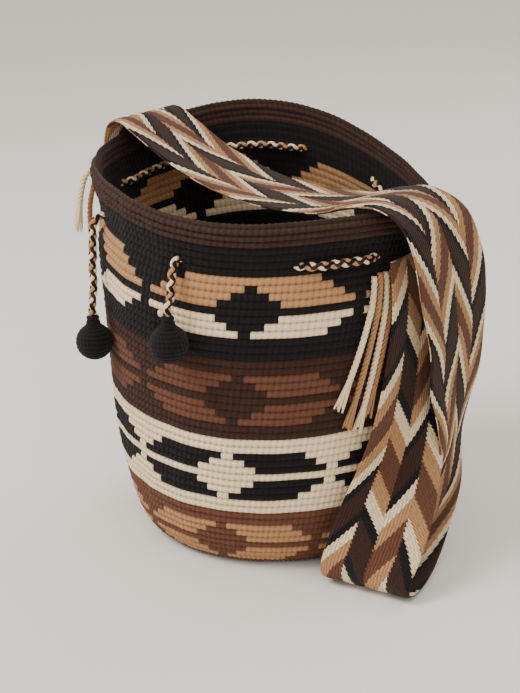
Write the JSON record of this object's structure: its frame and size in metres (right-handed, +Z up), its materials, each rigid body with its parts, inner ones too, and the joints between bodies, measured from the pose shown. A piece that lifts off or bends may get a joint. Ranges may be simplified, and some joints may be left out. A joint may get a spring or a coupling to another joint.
{
  "type": "wayuu mochila bag",
  "caption": "Crocheted cotton bucket bag with a flat base, a stepped bar pattern in bands, a braided shoulder strap folded down one side and a drawcord with balls.",
  "frame": {"origin": "centre of the flat underside of the base", "axes": "+Z up out of the mouth; -Y the side where the drawcord's ends hang; the strap is sewn on at +X and -X"},
  "size_m": [0.3697, 0.3276, 0.349],
  "materials": {
    "crochet_cotton": "single crochet in cotton yarn, black, dark brown, brown, tan and cream rows",
    "strap_braid": "oblique finger-braided cotton band with zigzag stripes",
    "drawcord_braid": "round four-strand cotton braid, cream, tan and black",
    "ball_crochet": "stuffed crocheted ball, black cotton",
    "fringe_cream": "plied cotton rope, cream",
    "fringe_tan": "plied cotton rope, tan"
  },
  "bodies": {
    "root": {"bag_body": "crochet_cotton", "strap": "strap_braid", "drawcord": "drawcord_braid", "ball_left": "ball_crochet", "ball_right": "ball_crochet", "fringe_right_1": "fringe_cream", "fringe_right_2": "fringe_tan", "fringe_right_3": "fringe_cream", "fringe_right_4": "fringe_tan", "fringe_right_5": "fringe_cream", "fringe_right_6": "fringe_tan", "fringe_left_1": "fringe_cream", "fringe_left_2": "fringe_tan", "fringe_left_3": "fringe_cream", "fringe_left_4": "fringe_tan", "fringe_left_5": "fringe_cream", "fringe_left_6": "fringe_tan"}
  },
  "joints": []
}
